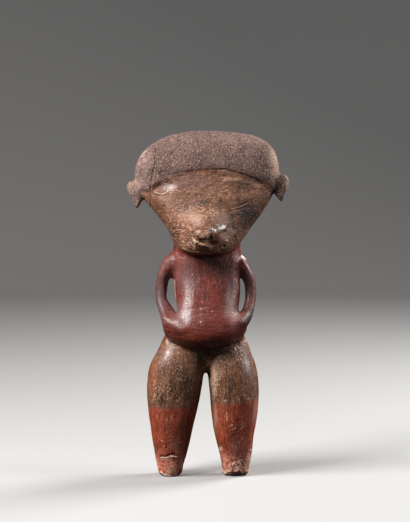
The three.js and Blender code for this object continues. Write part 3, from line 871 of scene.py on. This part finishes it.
class Nodes:
    """Short words for building a material's nodes."""

    def __init__(self, material):
        material.use_nodes = True
        self.tree = material.node_tree
        self.shader = self.tree.nodes["Principled BSDF"]
        self.place = self.new("ShaderNodeTexCoord").outputs["Object"]

    def new(self, kind, **settings):
        node = self.tree.nodes.new(kind)
        for name, value in settings.items():
            setattr(node, name, value)
        return node

    def link(self, value, socket):
        """Feeds a socket with another socket or with a plain value."""
        if isinstance(value, bpy.types.NodeSocket):
            self.tree.links.new(value, socket)
        else:
            socket.default_value = value

    def attribute(self, name):
        return self.new("ShaderNodeAttribute", attribute_name=name).outputs["Fac"]

    def math(self, operation, first, second=0.0, third=0.0):
        node = self.new("ShaderNodeMath", operation=operation)
        for socket, value in zip(node.inputs, (first, second, third)):
            self.link(value, socket)
        return node.outputs["Value"]

    def times(self, first, second):
        return self.math("MULTIPLY", first, second)

    def plus(self, first, second):
        return self.math("ADD", first, second)

    def noise(self, size, detail, stretch):
        """Noise whose lumps are `size` millimetres wide, drawn out by `stretch` along each axis."""
        spread_out = self.new("ShaderNodeVectorMath", operation="MULTIPLY")
        self.link(self.place, spread_out.inputs[0])
        spread_out.inputs[1].default_value = [1.0 / (size * MM * s) for s in stretch]
        node = self.new("ShaderNodeTexNoise")
        self.link(spread_out.outputs["Vector"], node.inputs["Vector"])
        node.inputs["Scale"].default_value = 1.0
        node.inputs["Detail"].default_value = detail
        return node.outputs["Fac"]

    def tones(self, value, colours, reach=0.18):
        """Dark, middle and light colours along a value that is 0.5 in the middle."""
        node = self.new("ShaderNodeValToRGB")
        self.link(value, node.inputs["Fac"])
        low, high = node.color_ramp.elements
        low.position, high.position = 0.5 - reach, 0.5 + reach
        low.color, high.color = linear(*colours[0]), linear(*colours[2])
        node.color_ramp.elements.new(0.5).color = linear(*colours[1])
        return node.outputs["Color"]

    def steps(self, value, low, high):
        """0 before low and 1 past high, with a smooth rise between them. It falls if high is the lower."""
        node = self.new("ShaderNodeMapRange", interpolation_type="SMOOTHSTEP")
        self.link(value, node.inputs["Value"])
        for end, (place, level) in zip(("Min", "Max"), sorted([(low, 0.0), (high, 1.0)])):
            node.inputs["From " + end].default_value = place
            node.inputs["To " + end].default_value = level
        return node.outputs["Result"]

    def mix(self, share, first, second):
        """Two colours mixed. A mix node's sockets are found by number, because their names repeat."""
        node = self.new("ShaderNodeMix", data_type="RGBA")
        self.link(share, node.inputs["Factor"])
        self.link(first, node.inputs[6])
        self.link(second, node.inputs[7])
        return node.outputs[2]

    def blend(self, share, first, second):
        """Two numbers mixed."""
        node = self.new("ShaderNodeMix", data_type="FLOAT")
        self.link(share, node.inputs["Factor"])
        self.link(first, node.inputs[2])
        self.link(second, node.inputs[3])
        return node.outputs[0]


def clay_material():
    material = bpy.data.materials.new("burnished_clay")
    nodes = Nodes(material)
    pattern = {name: nodes.noise(*settings) for name, settings in PATTERNS.items()}
    level = nodes.attribute("level")
    stroke = nodes.blend(level, pattern["upright"], pattern["level"])
    drawn = nodes.blend(level, pattern["upright_grain"], pattern["level_grain"])
    grain = nodes.blend(nodes.attribute("hair"), drawn, pattern["hair_grain"])
    cloudy = nodes.blend(0.5, pattern["clouds"], pattern["blotch"])
    mottled_and_relief_shaded = nodes.blend(RELIEF_SHARE, cloudy, nodes.attribute("relief"))

    # the kinds of surface, one over the other
    colour = crumb = pit = UNDER["colour"]
    roughness = UNDER["rough"]
    bare = 0.0
    stroked = 0.0
    for name, (tones, crumb_tone, pit_tone, dull, crumbs, strokes) in SURFACES.items():
        here = nodes.attribute(name)
        shade = nodes.blend(STROKE_SHARE * strokes, mottled_and_relief_shaded, stroke)
        colour = nodes.mix(here, colour, nodes.tones(shade, tones))
        crumb = nodes.mix(here, crumb, linear(*crumb_tone))
        pit = nodes.mix(here, pit, linear(*pit_tone))
        roughness = nodes.blend(here, roughness, dull)
        bare = nodes.blend(here, bare, crumbs)
        stroked = nodes.blend(here, stroked, strokes)

    # stains and painted light, crumbs, pits painted dark as shade in them, and flecks
    for name, (most, tone) in TINTS.items():
        amount = nodes.times(nodes.attribute(name), most)
        colour = nodes.mix(amount, colour, linear(*tone))
    spots = nodes.steps(grain, *CRUMB_EDGE)
    holes = nodes.steps(pattern["holes"], *HOLE_EDGE)
    flecks = nodes.times(nodes.attribute("flecks"), nodes.steps(pattern["flecks"], *FLECK_EDGE))
    bare = nodes.times(bare, nodes.attribute("crumbs"))
    colour = nodes.mix(nodes.times(bare, spots), colour, crumb)
    colour = nodes.mix(nodes.times(bare, holes), colour, pit)
    colour = nodes.mix(flecks, colour, crumb)
    nodes.link(colour, nodes.shader.inputs["Base Color"])

    # shine
    uneven = nodes.math("MULTIPLY_ADD", pattern["blotch"], UNEVEN_SHINE, -0.5 * UNEVEN_SHINE)
    roughness = nodes.plus(roughness, uneven)
    roughness = nodes.blend(nodes.attribute("matt"), roughness, MATT)
    roughness = nodes.blend(nodes.attribute("gloss"), roughness, POLISHED)
    nodes.link(roughness, nodes.shader.inputs["Roughness"])
    nodes.link(nodes.attribute("gloss"), nodes.shader.inputs["Coat Weight"])
    nodes.shader.inputs["Coat Roughness"].default_value = COAT_ROUGHNESS

    # fine relief
    crumbled = nodes.times(bare, nodes.math("SUBTRACT", spots, holes))
    lined = nodes.times(stroked, nodes.times(stroke, FINE_RELIEF["strokes"]))
    height = nodes.plus(nodes.plus(crumbled, lined), nodes.times(grain, FINE_RELIEF["grain"]))
    even = nodes.math("MULTIPLY_ADD", nodes.attribute("gloss"), -EVENED, 1.0)
    relief = nodes.new("ShaderNodeBump")
    relief.inputs["Distance"].default_value = FINE_RELIEF["depth"] * MM
    relief.inputs["Strength"].default_value = FINE_RELIEF["strength"]
    nodes.link(nodes.times(height, even), relief.inputs["Height"])
    nodes.link(relief.outputs["Normal"], nodes.shader.inputs["Normal"])
    return material


# The studio: a round pale floor that bends up into the backdrop on all sides, in metres, and its parts round
# about and up the bend
SWEEP = {"flat": 1.3, "bend": 0.9, "top": 3.2}
TURNS = 96
RISES = 24
FLOOR_COLOUR = (0.46, 0.455, 0.45, 1.0)
FLOOR_ROUGHNESS = 0.7
# The lamps: degrees round to the right and up from the camera's side, the distance, the width and height in
# metres, the power in watts and the colour
LAMPS = {
    "key": (-60, 36, 1.0, (0.52, 0.34), 19.5, (1.0, 0.99, 0.98)),
    "rim": (84, 18, 1.0, (0.24, 0.6), 5.0, (1.0, 0.99, 1.0)),
    "back": (122, 40, 1.0, (0.4, 0.3), 12.0, (1.0, 0.98, 0.95)),
    "fill": (10, 15, 1.4, (0.8, 0.8), 0.8, (1.0, 1.0, 1.0)),
}
SKY = {"colour": (0.75, 0.75, 0.76, 1.0), "strength": 0.04}


def sweep_outline():
    """The floor from its flat part's edge to its top: how far out and how high."""
    line = []
    for rise in range(RISES + 1):
        lift = math.radians(90.0 * rise / RISES)
        line.append((SWEEP["flat"] + SWEEP["bend"] * math.sin(lift), SWEEP["bend"] * (1.0 - math.cos(lift))))
    line.append((SWEEP["flat"] + SWEEP["bend"], SWEEP["top"]))
    return line


def sweep_mesh():
    """The outline turned round the figure."""
    line = sweep_outline()
    corners = [(0.0, 0.0, 0.0)]
    for radius, z in line:
        for turn in range(TURNS):
            angle = math.tau * turn / TURNS
            corners.append((radius * math.cos(angle), radius * math.sin(angle), z))
    faces = [(0, 1 + turn, 1 + (turn + 1) % TURNS) for turn in range(TURNS)]
    for row in range(len(line) - 1):
        low = 1 + row * TURNS
        high = low + TURNS
        for turn in range(TURNS):
            after = (turn + 1) % TURNS
            faces.append((low + turn, high + turn, high + after, low + after))
    mesh = bpy.data.meshes.new("floor")
    mesh.from_pydata(corners, [], faces)
    mesh.shade_smooth()
    return mesh


def studio():
    floor = placed("floor", sweep_mesh())
    material = bpy.data.materials.new("pale_floor")
    material.use_nodes = True
    shader = material.node_tree.nodes["Principled BSDF"]
    shader.inputs["Base Color"].default_value = FLOOR_COLOUR
    shader.inputs["Roughness"].default_value = FLOOR_ROUGHNESS
    floor.data.materials.append(material)
    floor.visible_diffuse = floor.visible_glossy = floor.visible_shadow = False


def from_side(azimuth, elevation, distance):
    """A place round the figure: azimuth from the camera's side, positive to the right, in degrees."""
    turn, lift = math.radians(azimuth), math.radians(elevation)
    level = distance * math.cos(lift)
    return AIM + Vector((level * math.sin(turn), -level * math.cos(turn), distance * math.sin(lift)))


def area_light(name, place, size, power, colour):
    """A lamp that points at the figure."""
    light = bpy.data.lights.new(name, "AREA")
    light.shape = "RECTANGLE"
    light.size, light.size_y = size
    light.energy = power
    light.color = colour
    lamp = placed(name, light)
    lamp.location = place
    lamp.rotation_euler = (AIM - place).to_track_quat("-Z", "Y").to_euler()


def lights():
    for name, (azimuth, elevation, distance, size, power, colour) in LAMPS.items():
        area_light(name, from_side(azimuth, elevation, distance), size, power, colour)
    world = bpy.data.worlds.new("studio")
    world.use_nodes = True
    sky = world.node_tree.nodes["Background"]
    sky.inputs["Color"].default_value = SKY["colour"]
    sky.inputs["Strength"].default_value = SKY["strength"]
    bpy.context.scene.world = world


def camera():
    data = bpy.data.cameras.new("camera")
    data.lens, data.sensor_width = LENS, SENSOR
    lens = placed("camera", data)
    place, back = camera_place()
    lens.location = place
    lens.rotation_euler = (-back).to_track_quat("-Z", "Y").to_euler()
    bpy.context.scene.camera = lens


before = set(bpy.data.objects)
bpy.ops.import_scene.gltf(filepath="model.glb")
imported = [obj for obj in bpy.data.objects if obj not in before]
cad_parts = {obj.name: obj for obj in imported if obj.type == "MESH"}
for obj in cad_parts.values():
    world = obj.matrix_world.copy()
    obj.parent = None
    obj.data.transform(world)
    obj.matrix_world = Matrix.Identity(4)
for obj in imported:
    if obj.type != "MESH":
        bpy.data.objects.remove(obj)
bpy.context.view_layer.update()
camera()
lights()
studio()

figure = clay_body(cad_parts["figure"])
sculpt(figure)
lighten(figure)
paint(figure)
figure.data.materials.append(clay_material())
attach(figure, "root")
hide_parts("figure")
bpy.context.scene.view_settings.view_transform = "Standard"
